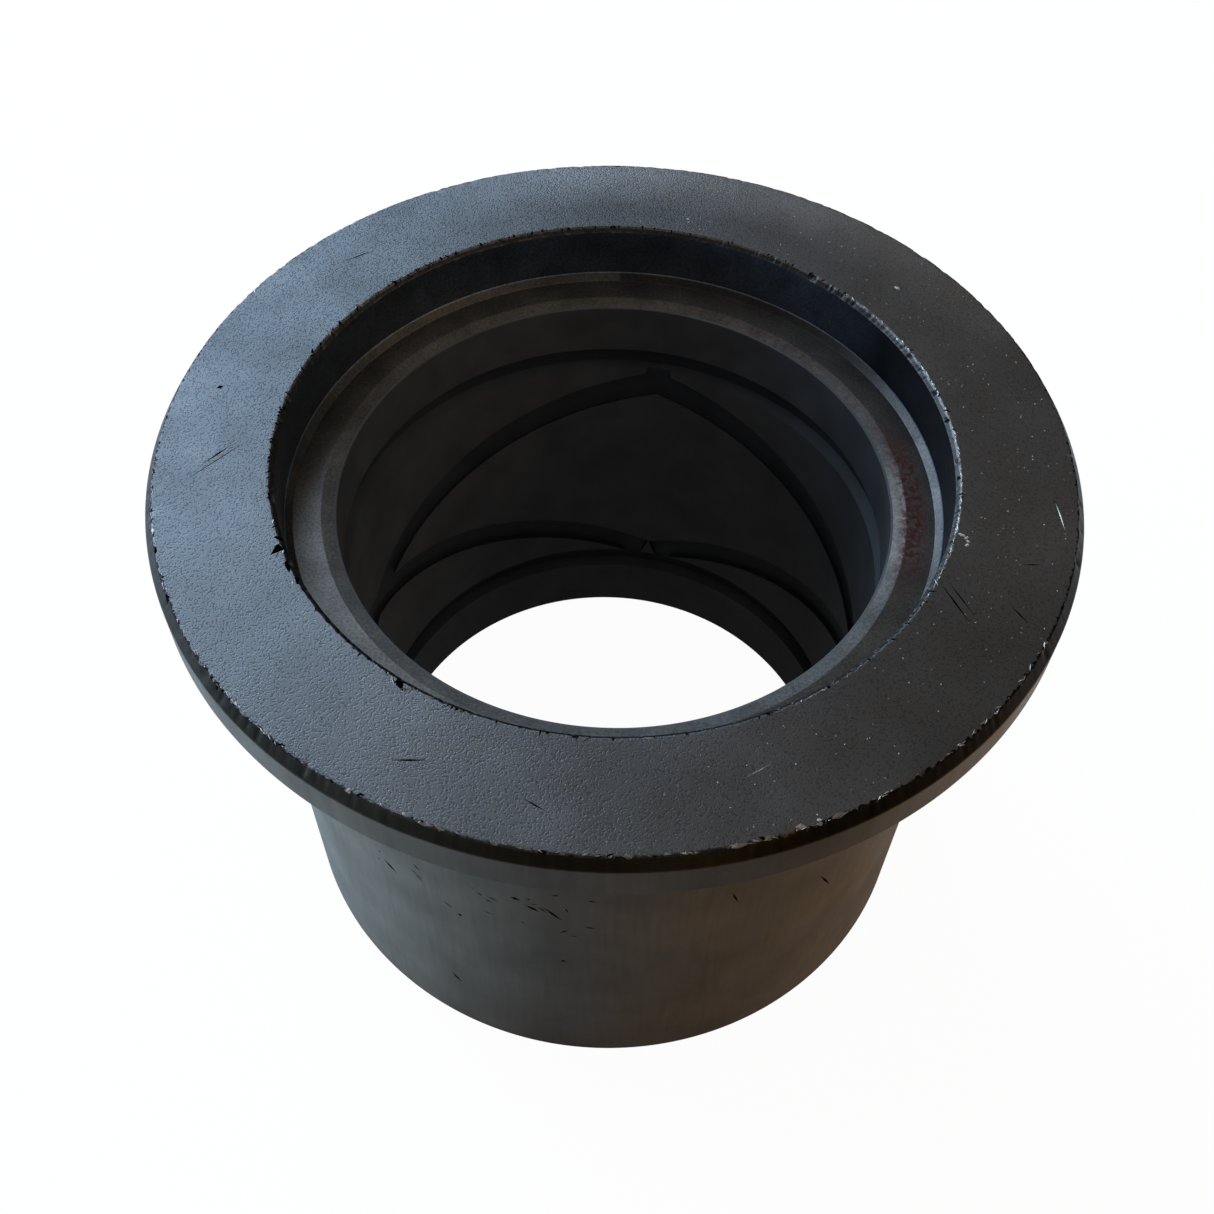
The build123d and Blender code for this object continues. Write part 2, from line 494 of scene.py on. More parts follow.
def groove_wedge(tree, given):
    """The grooves' section: a wedge from inside the bore's wall to the grooves' floor."""
    base = add(tree, "ShaderNodeMath", {0: given["Groove width"], 1: WEDGE_FLARE},
               operation="ADD")
    deep = add(tree, "ShaderNodeMath", {0: given["Groove depth"], 1: CLEARANCE}, operation="ADD")
    wedge = add(tree, "GeometryNodeCurvePrimitiveQuadrilateral", mode="TRAPEZOID")
    tree.links.new(base.outputs[0], wedge.inputs["Bottom Width"])
    tree.links.new(given["Groove floor"], wedge.inputs["Top Width"])
    tree.links.new(deep.outputs[0], wedge.inputs["Height"])
    wedge.inputs["Offset"].default_value = 0.0
    back = add(tree, "ShaderNodeMath", {0: deep.outputs[0], 1: 0.5}, operation="MULTIPLY")
    ahead = add(tree, "ShaderNodeMath", {0: back.outputs[0], 1: CLEARANCE}, operation="SUBTRACT")
    shift = add(tree, "ShaderNodeCombineXYZ", {0: ahead.outputs[0]})
    return add(tree, "GeometryNodeTransform", {
        "Geometry": wedge.outputs[0], "Translation": shift.outputs[0],
        "Rotation": (0, 0, math.radians(-90))}).outputs[0]


def zigzag_leg(tree, given, wedge):
    """A leg that rises to the right over half a turn, run on at both ends so that corners fill."""
    span = add(tree, "ShaderNodeMath", {0: given["Upper ring"], 1: given["Lower ring"]},
               operation="SUBTRACT")
    climb = add(tree, "ShaderNodeMath", {0: span.outputs[0], 1: 2 * ZIGZAG_FROM_RING},
                operation="SUBTRACT")
    half_round = add(tree, "ShaderNodeMath", {0: given["Bore radius"], 1: math.pi},
                     operation="MULTIPLY")
    slope = add(tree, "ShaderNodeMath", {0: climb.outputs[0], 1: half_round.outputs[0]},
                operation="DIVIDE")
    half_width = add(tree, "ShaderNodeMath", {0: given["Groove width"], 1: 0.5},
                     operation="MULTIPLY")
    overrun = add(tree, "ShaderNodeMath", {0: half_width.outputs[0], 1: slope.outputs[0]},
                  operation="MULTIPLY")
    rise = add(tree, "ShaderNodeMath", {0: overrun.outputs[0], 1: slope.outputs[0]},
               operation="MULTIPLY")
    extra_turn = add(tree, "ShaderNodeMath", {0: overrun.outputs[0], 1: half_round.outputs[0]},
                     operation="DIVIDE")
    turns = add(tree, "ShaderNodeMath", {0: extra_turn.outputs[0], 1: 0.5}, operation="ADD")
    height = add(tree, "ShaderNodeMath", {0: rise.outputs[0], 1: 2.0, 2: climb.outputs[0]},
                 operation="MULTIPLY_ADD")
    spiral = add(tree, "GeometryNodeCurveSpiral", {
        "Resolution": LEG_POINTS, "Rotations": turns.outputs[0],
        "Start Radius": given["Bore radius"], "End Radius": given["Bore radius"],
        "Height": height.outputs[0]})
    upright = add(tree, "GeometryNodeSetCurveNormal", {"Curve": spiral.outputs[0]}, mode="Z_UP")
    leg = add(tree, "GeometryNodeCurveToMesh", {
        "Curve": upright.outputs[0], "Profile Curve": wedge, "Fill Caps": True})
    foot = add(tree, "ShaderNodeMath", {0: given["Lower ring"], 1: rise.outputs[0]},
               operation="SUBTRACT")
    start = add(tree, "ShaderNodeMath", {0: foot.outputs[0], 1: ZIGZAG_FROM_RING},
                operation="ADD")
    lift = add(tree, "ShaderNodeCombineXYZ", {2: start.outputs[0]})
    run_on = add(tree, "ShaderNodeMath", {0: extra_turn.outputs[0], 1: -math.pi},
                 operation="MULTIPLY")
    spun = add(tree, "ShaderNodeCombineXYZ", {2: run_on.outputs[0]})
    return add(tree, "GeometryNodeTransform", {
        "Geometry": leg.outputs[0], "Translation": lift.outputs[0],
        "Rotation": spun.outputs[0]}).outputs[0]


def groove_cutters(tree, given):
    """What the grease grooves take away: the rings, the legs to the right and those to the left.

    No two solids in one set overlap, as an overlap would turn what is cut there inside out.
    """
    wedge = groove_wedge(tree, given)
    rings = add(tree, "GeometryNodeJoinGeometry")
    for name in ("Upper ring", "Lower ring"):
        circle = add(tree, "GeometryNodeCurvePrimitiveCircle", {
            "Resolution": RING_POINTS, "Radius": given["Bore radius"]})
        ring = add(tree, "GeometryNodeCurveToMesh", {
            "Curve": circle.outputs[0], "Profile Curve": wedge})
        lift = add(tree, "ShaderNodeCombineXYZ", {2: given[name]})
        placed = add(tree, "GeometryNodeTransform", {
            "Geometry": ring.outputs[0], "Translation": lift.outputs[0]})
        tree.links.new(placed.outputs[0], rings.inputs[0])
    sets = [mark_faces(tree, rings.outputs[0], "groove")]
    right_leg = zigzag_leg(tree, given, wedge)
    mirrored = add(tree, "GeometryNodeTransform", {"Geometry": right_leg, "Scale": (1, -1, 1)})
    left_leg = add(tree, "GeometryNodeFlipFaces", {"Mesh": mirrored.outputs[0]})
    for leg in (right_leg, left_leg.outputs[0]):
        pair = add(tree, "GeometryNodeJoinGeometry")
        for half_turn in (0.0, math.pi):
            angle = add(tree, "ShaderNodeMath", {0: given["Zigzag turn"], 1: half_turn},
                        operation="ADD")
            about = add(tree, "ShaderNodeCombineXYZ", {2: angle.outputs[0]})
            placed = add(tree, "GeometryNodeTransform", {
                "Geometry": leg, "Rotation": about.outputs[0]})
            tree.links.new(placed.outputs[0], pair.inputs[0])
        sets.append(mark_faces(tree, pair.outputs[0], "groove"))
    return sets


def set_on_points(tree, places, shape, selection=True):
    """A copy of the shape on each place, to that place's half sizes and heading, as one mesh."""
    points = add(tree, "GeometryNodeMeshToPoints", {"Mesh": places})
    size = add(tree, "GeometryNodeInputNamedAttribute", {"Name": "size"}, data_type="FLOAT_VECTOR")
    heading = add(tree, "GeometryNodeInputNamedAttribute", {"Name": "heading"},
                  data_type="FLOAT_VECTOR")
    turn = add(tree, "FunctionNodeEulerToRotation", {0: heading.outputs[0]})
    placed = add(tree, "GeometryNodeInstanceOnPoints", {
        "Points": points.outputs[0], "Selection": selection, "Instance": shape,
        "Rotation": turn.outputs[0], "Scale": size.outputs[0]})
    return add(tree, "GeometryNodeRealizeInstances", {"Geometry": placed.outputs[0]}).outputs[0]


def mark_cutters(tree, given, layers):
    """What knocks and scratches take away: a pointed gouge at each mark, in sets without overlaps."""
    marks = add(tree, "GeometryNodeObjectInfo", {"Object": given["Marks"]})
    gouge = add(tree, "GeometryNodeMeshUVSphere", {"Segments": 4, "Rings": 2, "Radius": 1.0})
    layer = add(tree, "GeometryNodeInputNamedAttribute", {"Name": "layer"}, data_type="INT")
    bare = add(tree, "GeometryNodeInputNamedAttribute", {"Name": "bare"}, data_type="BOOLEAN")
    sets = []
    for number in range(layers):
        mine = add(tree, "FunctionNodeCompare", {"A": layer.outputs[0], "B": number},
                   operation="EQUAL", data_type="INT")
        gouges = set_on_points(tree, marks.outputs["Geometry"], gouge.outputs[0], mine.outputs[0])
        dark = mark_faces(tree, gouges, "nick")
        sets.append(mark_faces(tree, dark, "bare", bare.outputs[0]))
    return sets


# Knocks in the seal's lip and the collar's edge: angle from the near side towards +X in degrees,
# radius, length, width and depth in millimetres, turn from the radius in degrees, and whether bare
KNOCKS = (
    (-65.5, 60.1, 4.2, 1.7, 1.3, 28, False),
    (-67.5, 59.4, 2.4, 1.5, 1.2, -20, False),
    (-61.5, 59.9, 3.4, 1.3, 1.0, 75, False),
    (-58.5, 59.5, 2.8, 1.1, 0.9, 60, False),
    (-32.0, 60.3, 3.0, 1.3, 0.9, 55, False),
    (-30.0, 59.9, 2.2, 0.6, 0.5, 10, True),
    (-170, 59.5, 1.6, 0.9, 0.6, 20, False),
    (-160, 59.4, 2.0, 0.8, 0.6, 80, False),
    (-134, 59.6, 2.6, 0.9, 0.6, 40, False),
    (-97, 59.5, 2.2, 1.1, 0.8, 15, False),
    (-25, 59.5, 1.8, 0.8, 0.6, 65, False),
    (24, 59.6, 2.0, 0.9, 0.6, 70, False),
    (105, 59.7, 2.2, 0.8, 0.5, 80, True),
    (-83.6, 80.0, 2.6, 1.0, 0.8, 85, False),
    (-77.1, 79.8, 3.6, 1.2, 0.8, 80, False),
    (-73.9, 79.7, 2.4, 1.1, 0.7, 95, True),
    (-62.8, 79.9, 3.0, 1.3, 0.9, 70, False),
    (-58.0, 80.0, 1.8, 0.9, 0.7, 100, False),
    (-48.7, 79.9, 3.4, 1.2, 0.9, 85, False),
    (-28.1, 79.7, 2.2, 0.9, 0.5, 90, True),
    (-22.9, 79.8, 1.6, 0.8, 0.5, 80, True),
    (-19.0, 79.6, 2.4, 1.0, 0.5, 95, True),
    (-17.2, 79.7, 1.3, 0.8, 0.5, 60, True),
    (-11.3, 79.6, 1.5, 0.8, 0.5, 90, True),
    (-6.2, 79.7, 2.6, 0.9, 0.5, 88, False),
    (2.6, 79.6, 2.0, 0.9, 0.6, 80, True),
    (14.0, 79.6, 3.2, 1.0, 0.6, 92, True),
    (17.3, 79.4, 2.2, 1.0, 0.5, 100, True),
    (21.0, 79.1, 2.0, 1.2, 0.4, 70, True),
    (25.3, 79.4, 2.8, 1.1, 0.6, 90, True),
    (30.3, 79.8, 2.4, 0.9, 0.6, 88, True),
)

# Scratches on the collar's face: both ends as X and Y, width and depth in millimetres, and whether bare
FACE_SCRATCHES = (
    (-73.5, -11.2, -64.0, -1.0, 0.22, 0.25, False),
    (-70.9, -7.0, -66.6, -2.1, 0.4, 0.5, False),
    (-72.0, -8.9, -65.2, -1.8, 0.18, 0.1, True),
    (-31.9, -64.8, -26.0, -64.6, 0.35, 0.35, False),
    (-54.0, 46.8, -48.1, 50.7, 0.3, 0.3, False),
    (-43.6, 41.2, -38.5, 44.6, 0.35, 0.35, False),
    (53.3, -28.2, 57.4, -36.7, 0.35, 0.35, False),
    (54.5, -27.6, 58.4, -35.4, 0.25, 0.25, False),
    (74.9, -10.4, 75.5, -16.3, 0.25, 0.1, True),
    (64.1, -32.5, 66.7, -36.4, 0.3, 0.3, False),
    (67.2, -24.1, 70.5, -24.0, 0.25, 0.25, False),
    (-71.9, 11.5, -70.7, 12.1, 0.9, 0.35, False),
    (20.5, -66.0, 24.5, -63.4, 0.2, 0.08, True),
    (-12.0, -70.5, -8.4, -72.6, 0.3, 0.1, False),
)

# Scratches on the body: both ends as angle and height, width and depth in millimetres, whether bare
BODY_SCRATCHES = (
    (-34.8, 72.8, -30.4, 72.3, 0.9, 0.25, False),
    (-36.5, 58.8, -33.6, 56.0, 0.9, 0.25, False),
    (-25.1, 70.5, -20.4, 71.6, 0.45, 0.15, True),
    (-15.9, 74.0, -15.3, 74.8, 1.0, 0.3, False),
    (-12.9, 77.8, -12.3, 78.5, 0.9, 0.3, False),
    (-22.6, 52.5, -22.1, 53.4, 0.9, 0.3, False),
    (-6.0, 44.3, -5.5, 45.1, 0.9, 0.3, False),
    (-13.6, 67.8, -11.9, 67.4, 1.0, 0.2, False),
    (-11.4, 66.1, -9.0, 64.2, 0.9, 0.2, False),
    (-8.8, 66.9, -5.6, 61.8, 0.7, 0.2, False),
    (19.4, 68.1, 20.8, 63.2, 0.45, 0.2, False),
    (35.6, 58.4, 39.4, 49.0, 0.5, 0.2, False),
    (-26.0, 22.6, -24.1, 19.3, 0.8, 0.2, False),
)

# Small strokes on the upper left of the body: how many, and the angles and heights they lie between
BODY_STROKES = 34
STROKED = (-42, 2, 54, 84)

# Small random knocks in the seal's lip and the collar's edge: how many, the share of the lip's that
# lie at the left, and the shares that bare the steel
LIP_CHIPS = 260
EDGE_CHIPS = 110
LIP_LEFT = 0.62
LIP_BARE = 0.06
EDGE_BARE = 0.35


def polar(angle, radius, height):
    """A point by its angle from the near side towards +X, in degrees, and millimetres."""
    turn = math.radians(angle)
    return Vector((math.sin(turn) * radius, -math.cos(turn) * radius, height)) * MM


def mark(place, along, normal, size, bare):
    """One mark: its place, half sizes, heading as Euler angles, and whether it bares the steel."""
    x_axis = along.normalized()
    turn = Matrix((x_axis, normal.cross(x_axis), normal)).transposed()
    half = (size[0] / 2 * MM, size[1] / 2 * MM, size[2] * MM)
    return place, half, tuple(turn.to_euler()), bare


def knock(angle, radius, height, size, heading, bare):
    """A mark on the collar's face, turned from the radius by its heading in degrees."""
    turn = math.radians(angle - 90 + heading)
    along = Vector((math.cos(turn), math.sin(turn), 0))
    return mark(polar(angle, radius, height), along, Vector((0, 0, 1)), size, bare)


def listed_marks(sizes):
    """The marks that are placed one by one."""
    top = sizes.height / MM
    marks = [knock(angle, radius, top, (length, width, depth), heading, bare)
             for angle, radius, length, width, depth, heading, bare in KNOCKS]
    for x0, y0, x1, y1, width, depth, bare in FACE_SCRATCHES:
        start, end = Vector((x0, y0, top)) * MM, Vector((x1, y1, top)) * MM
        size = ((end - start).length / MM, width, depth)
        marks.append(mark((start + end) / 2, end - start, Vector((0, 0, 1)), size, bare))
    radius = sizes.body_radius / MM
    for turn0, low, turn1, high, width, depth, bare in BODY_SCRATCHES:
        start, end = polar(turn0, radius, low), polar(turn1, radius, high)
        middle = polar((turn0 + turn1) / 2, radius, (low + high) / 2)
        normal = Vector((middle.x, middle.y, 0)).normalized()
        along = end - start
        along -= along.dot(normal) * normal
        size = ((end - start).length / MM, width, depth)
        marks.append(mark(middle, along, normal, size, bare))
    return marks


def random_marks(sizes, seed):
    """Small knocks along the lip and the collar's edge, and strokes on the body, in millimetres."""
    draw = random.Random(seed)
    top = sizes.height / MM
    marks = []
    for _ in range(LIP_CHIPS):
        angle = draw.uniform(-185, -15) if draw.random() < LIP_LEFT else draw.uniform(-15, 175)
        radius = sizes.seat_radius / MM + draw.uniform(0.1, 1.0)
        length = draw.uniform(0.6, 1.2) * (1 + draw.random() ** 4 * 1.8)
        size = (length, draw.uniform(0.3, 0.7), draw.uniform(0.3, 0.8))
        marks.append(knock(angle, radius, top, size, draw.uniform(-60, 60),
                           draw.random() < LIP_BARE))
    for _ in range(EDGE_CHIPS):
        angle = draw.uniform(-180, 180)
        radius = sizes.collar_radius / MM - draw.uniform(0.9, 1.8)
        size = (draw.uniform(0.6, 2.0), draw.uniform(0.4, 0.9), draw.uniform(0.2, 0.6))
        marks.append(knock(angle, radius, top, size, draw.uniform(50, 130),
                           draw.random() < EDGE_BARE))
    first, last, low, high = STROKED
    for _ in range(BODY_STROKES):
        angle, height = draw.uniform(first, last), draw.uniform(low, high)
        middle = polar(angle, sizes.body_radius / MM, height)
        normal = Vector((middle.x, middle.y, 0)).normalized()
        tilt = math.radians(draw.gauss(-20, 22))
        along = normal.cross(Vector((0, 0, -1))) * math.cos(tilt) + Vector((0, 0, math.sin(tilt)))
        size = (draw.uniform(0.5, 2.6), draw.uniform(0.25, 0.5), 0.22)
        marks.append(mark(middle, along, normal, size, False))
    return marks


def layered(marks):
    """The set that each mark falls in, so that none in a set overlap."""
    layers = []
    for i, (place, half, _, _) in enumerate(marks):
        taken = {layers[j] for j, (other, reach, _, _) in enumerate(marks[:i])
                 if (place - other).length < max(half) + max(reach)}
        layers.append(min(set(range(len(marks))) - taken))
    return layers


def points_object(name, marks):
    """One vertex for each mark, with its half sizes, heading and layer, and whether it is bare."""
    mesh = bpy.data.meshes.new(name)
    mesh.from_pydata([place for place, _, _, _ in marks], [], [])
    for column, title in ((1, "size"), (2, "heading")):
        attribute = mesh.attributes.new(title, "FLOAT_VECTOR", "POINT")
        attribute.data.foreach_set("vector", [c for row in marks for c in row[column]])
    attribute = mesh.attributes.new("layer", "INT", "POINT")
    attribute.data.foreach_set("value", layered(marks))
    attribute = mesh.attributes.new("bare", "BOOLEAN", "POINT")
    attribute.data.foreach_set("value", [row[3] for row in marks])
    points = bpy.data.objects.new(name, mesh)
    bpy.context.collection.objects.link(points)
    return points


def set_inputs(modifier, values):
    """Set a modifier's inputs, found by name and set by identifier."""
    for item in modifier.node_group.interface.items_tree:
        if item.item_type == "SOCKET" and item.in_out == "INPUT" and item.name in values:
            modifier[item.identifier] = values[item.name]


def plain_mesh(source, name):
    """The evaluated object as a plain mesh object at the origin."""
    graph = bpy.context.evaluated_depsgraph_get()
    mesh = bpy.data.meshes.new_from_object(source.evaluated_get(graph))
    mesh.name = name
    piece = bpy.data.objects.new(name, mesh)
    bpy.context.collection.objects.link(piece)
    return piece


# Materials

def new_material(name):
    """An empty material with its tree and output."""
    material = bpy.data.materials.new(name)
    material.use_nodes = True
    tree = material.node_tree
    tree.nodes.clear()
    out = tree.nodes.new("ShaderNodeOutputMaterial")
    return material, tree, out


def surface_fields(tree):
    """The place in millimetres, its radius and height, and its angle from the near side in radians."""
    place = add(tree, "ShaderNodeTexCoord").outputs["Object"]
    scaled = add(tree, "ShaderNodeVectorMath", {0: place, "Scale": 1 / MM}, operation="SCALE")
    axes = add(tree, "ShaderNodeSeparateXYZ", {0: scaled.outputs[0]})
    _, radius = from_axis(tree, scaled.outputs[0])
    near = add(tree, "ShaderNodeMath", {0: axes.outputs[1], 1: -1.0}, operation="MULTIPLY")
    angle = add(tree, "ShaderNodeMath", {0: axes.outputs[0], 1: near.outputs[0]},
                operation="ARCTAN2")
    return {"place": scaled.outputs[0], "x": axes.outputs[0], "y": axes.outputs[1],
            "height": axes.outputs[2], "radius": radius, "angle": angle.outputs[0]}


def stretch(tree, fields, *masks, **limits):
    """A soft mask over a stretch of the surface, inside any other masks and weakened by any share.

    Each field's limits are where the mask begins and is full, and where it begins to fade and is
    gone. The last two may be left out. They are in millimetres, and those of the angle in degrees
    from the near side towards +X.
    """
    masks = list(masks)
    for name, ends in limits.items():
        unit = math.radians(1) if name == "angle" else 1.0
        for i, first in zip(range(0, len(ends), 2), (0.0, 1.0)):
            masks.append(add(tree, "ShaderNodeMapRange", {
                "Value": fields[name], "From Min": ends[i] * unit, "From Max": ends[i + 1] * unit,
                "To Min": first, "To Max": 1.0 - first}).outputs[0])
    whole = masks[0]
    for mask in masks[1:]:
        whole = add(tree, "ShaderNodeMath", {0: whole, 1: mask}, operation="MULTIPLY").outputs[0]
    return whole


def mottle(tree, place, grain_mm, low, high, detail=3.0):
    """A cloudy tone between two factors, with clouds of the given size."""
    cloud = add(tree, "ShaderNodeTexNoise", {
        "Vector": place, "Scale": 1 / grain_mm, "Detail": detail})
    return add(tree, "ShaderNodeMapRange", {
        "Value": cloud.outputs[0], "From Min": 0.32, "From Max": 0.68,
        "To Min": low, "To Max": high}).outputs[0]


def specks(tree, place, spacing_mm, size, share, strength):
    """Small round specks of one strength, in a share of the cells of a random pattern."""
    cells = add(tree, "ShaderNodeTexVoronoi", {"Vector": place, "Scale": 1 / spacing_mm})
    inside = add(tree, "ShaderNodeMath", {0: cells.outputs["Distance"], 1: size},
                 operation="LESS_THAN")
    tint = add(tree, "ShaderNodeSeparateColor", {0: cells.outputs["Color"]})
    chosen = add(tree, "ShaderNodeMath", {0: tint.outputs[0], 1: share}, operation="LESS_THAN")
    kept = add(tree, "ShaderNodeMath", {0: inside.outputs[0], 1: chosen.outputs[0]},
               operation="MULTIPLY")
    return add(tree, "ShaderNodeMath", {0: kept.outputs[0], 1: strength},
               operation="MULTIPLY").outputs[0]


def toned(tree, colour, *tones):
    """A colour made lighter or darker by each tone: a factor, or a mask and the factor inside it."""
    for tone in tones:
        if isinstance(tone, tuple):
            mask, factor = tone
            tone = add(tree, "ShaderNodeMapRange", {
                "Value": mask, "To Min": 1.0, "To Max": factor}).outputs[0]
        colour = add(tree, "ShaderNodeVectorMath", {0: colour, "Scale": tone},
                     operation="SCALE").outputs[0]
    return colour


def finish_shader(tree, out, colour, roughness, bumps, metallic, tint, level=0.5):
    """A metal or coat with stacked bumps: each is a height, its depth in millimetres and a strength."""
    normal = None
    for height, depth_mm, strength in bumps:
        inputs = {"Height": height, "Distance": depth_mm * MM, "Strength": strength}
        if normal:
            inputs["Normal"] = normal
        normal = add(tree, "ShaderNodeBump", inputs).outputs[0]
    shader = add(tree, "ShaderNodeBsdfPrincipled", {
        "Base Color": colour, "Roughness": roughness, "Metallic": metallic,
        "Specular Tint": (tint, tint, tint, 1.0), "Specular IOR Level": level,
        "Normal": normal})
    tree.links.new(shader.outputs[0], out.inputs[0])


def edge_painted_shade(tree, fields):
    """The collar's turned edge, darkened nearly to black as painted shade, with a ragged border, as a
    mask and its factor.
    """
    torn = mottle(tree, fields["place"], 0.8, -0.45, 0.25)
    reach = add(tree, "ShaderNodeMath", {0: fields["radius"], 1: torn}, operation="ADD")
    edge = stretch(tree, {"reach": reach.outputs[0], "height": fields["height"]},
                   reach=(79.24, 79.36), height=(108.68, 108.92))
    # The painted shade is deepest away from the near side, where the lamps light the edge more
    depth = add(tree, "ShaderNodeMapRange", {
        "Value": stretch(tree, fields, angle=(-44, -24, 4, 24)), "To Min": 0.1, "To Max": 0.5})
    return edge, depth.outputs[0]


def collar_face(finish):
    """Black phosphate coat, oiled: satin and leathery, with pale specks where grit has rubbed it."""
    material, tree, out = new_material("black phosphated collar face")
    fields = surface_fields(tree)
    # The coat's crystals are far finer than a pixel, so its leathery grain is drawn 0.36 mm wide
    hide = add(tree, "ShaderNodeTexNoise", {
        "Vector": fields["place"], "Scale": 1 / 0.36, "Detail": 1.0, "Roughness": 0.5})
    leather = add(tree, "ShaderNodeMapRange", {
        "Value": hide.outputs[0], "From Min": 0.3, "From Max": 0.52},
        interpolation_type="SMOOTHSTEP")
    # Slow waves 2.6 mm wide in the coat break the window's reflection
    swell = add(tree, "ShaderNodeTexNoise", {
        "Vector": fields["place"], "Scale": 1 / 2.6, "Detail": 2.0})
    left = add(tree, "ShaderNodeMapRange", {
        "Value": fields["x"], "From Min": -10.0, "From Max": 45.0, "To Min": 1.0, "To Max": 0.4})
    grain = add(tree, "ShaderNodeMapRange", {
        "Value": leather.outputs[0], "To Min": 0.72, "To Max": 1.06})
    clouds = mottle(tree, fields["place"], 15, 0.9, 1.1, 4.0)
    # Painted warm light: the coat turns browner towards the right
    warm = add(tree, "ShaderNodeMapRange", {
        "Value": fields["x"], "From Min": -55.0, "From Max": 35.0})
    base = add(tree, "ShaderNodeMix", {
        0: warm.outputs[0], 6: (*finish.phosphate, 1.0), 7: (*finish.warm_lit_face, 1.0)},
        data_type="RGBA")
    # Painted light and shade by place: the far rim lighter as a painted reflection, the near left
    # lighter, the back left and the near right darker
    far_rim_painted_light = stretch(tree, fields, y=(25, 62), radius=(66, 77), x=(-42, -8))
    coat = toned(tree, base.outputs[2], grain.outputs[0], clouds, edge_painted_shade(tree, fields),
                 (far_rim_painted_light, 2.0),
                 (stretch(tree, fields, angle=(-92, -64, -16, 12)), 1.25),
                 (stretch(tree, fields, angle=(-189, -161, -129, -101)), 0.86),
                 (stretch(tree, fields, angle=(20, 40, 54, 74)), 0.78))
    rubbing = add(tree, "ShaderNodeMapRange", {
        "Value": fields["x"], "From Min": -60.0, "From Max": 50.0,
        "To Min": 0.1375, "To Max": 0.55})
    pale = specks(tree, fields["place"], 1.7, 0.1, 0.4, rubbing.outputs[0])
    speckled = add(tree, "ShaderNodeMix", {0: pale, 6: coat, 7: (*finish.bare, 1.0)},
                   data_type="RGBA")
    finish_shader(tree, out, speckled.outputs[2], mottle(tree, fields["place"], 9, 0.38, 0.46), (
        (swell.outputs[0], 0.02, 0.5), (leather.outputs[0], 0.026, left.outputs[0])),
        metallic=1.0, tint=0.6)
    return material


def turned_side(finish):
    """Phosphated turned side, coloured by angle: grey at the left and back as a painted reflection,
    darker at the near middle as painted shade, brown at the right as a painted warm reflection.
    """
    material, tree, out = new_material("black phosphated turned side")
    fields = surface_fields(tree)
    # Painted light and shade by angle: grey at the left and back, darker in the near middle, brown at
    # the right
    dark = add(tree, "ShaderNodeMix", {
        0: stretch(tree, fields, angle=(-42, -8, 95, 165)),
        6: (*finish.side, 1.0), 7: (*finish.shaded, 1.0)}, data_type="RGBA")
    oiled = add(tree, "ShaderNodeMix", {
        0: stretch(tree, fields, angle=(-4, 50, 70, 125)),
        6: dark.outputs[2], 7: (*finish.oil, 1.0)}, data_type="RGBA")
    # Upright rubs about 1.1 mm wide, drawn out along the height on the unrolled side
    flat = add(tree, "ShaderNodeCombineXYZ", {0: fields["angle"], 1: fields["height"]})
    unrolled = add(tree, "ShaderNodeVectorMath", {
        0: flat.outputs[0], 1: (mount_radius("housing_fit") / MM, 0.06, 0.0)},
        operation="MULTIPLY")
    streaks = mottle(tree, unrolled.outputs[0], 1.1, 0.86, 1.14)
    clouds = mottle(tree, fields["place"], 18, 0.8, 1.2, 5.0)
    # A painted shadow on the collar's rim at the near right
    rim_painted_shadow = stretch(tree, fields, angle=(-2, 10, 25, 37), height=(101.8, 102.0, 108.7, 108.9))
    coat = toned(tree, oiled.outputs[2], streaks, clouds, edge_painted_shade(tree, fields),
                 (rim_painted_shadow, 0.45))
    stained = add(tree, "ShaderNodeMix", {
        0: specks(tree, fields["place"], 3.4, 0.09, 0.3, 0.7), 6: coat, 7: (*finish.bore, 1.0)},
        data_type="RGBA")
    fine = add(tree, "ShaderNodeTexNoise", {
        "Vector": fields["place"], "Scale": 1 / 0.7, "Detail": 2.0})
    finish_shader(tree, out, stained.outputs[2], mottle(tree, fields["place"], 12, 0.38, 0.46), (
        (fine.outputs[0], 0.012, 1.0),), metallic=1.0, tint=0.8)
    return material


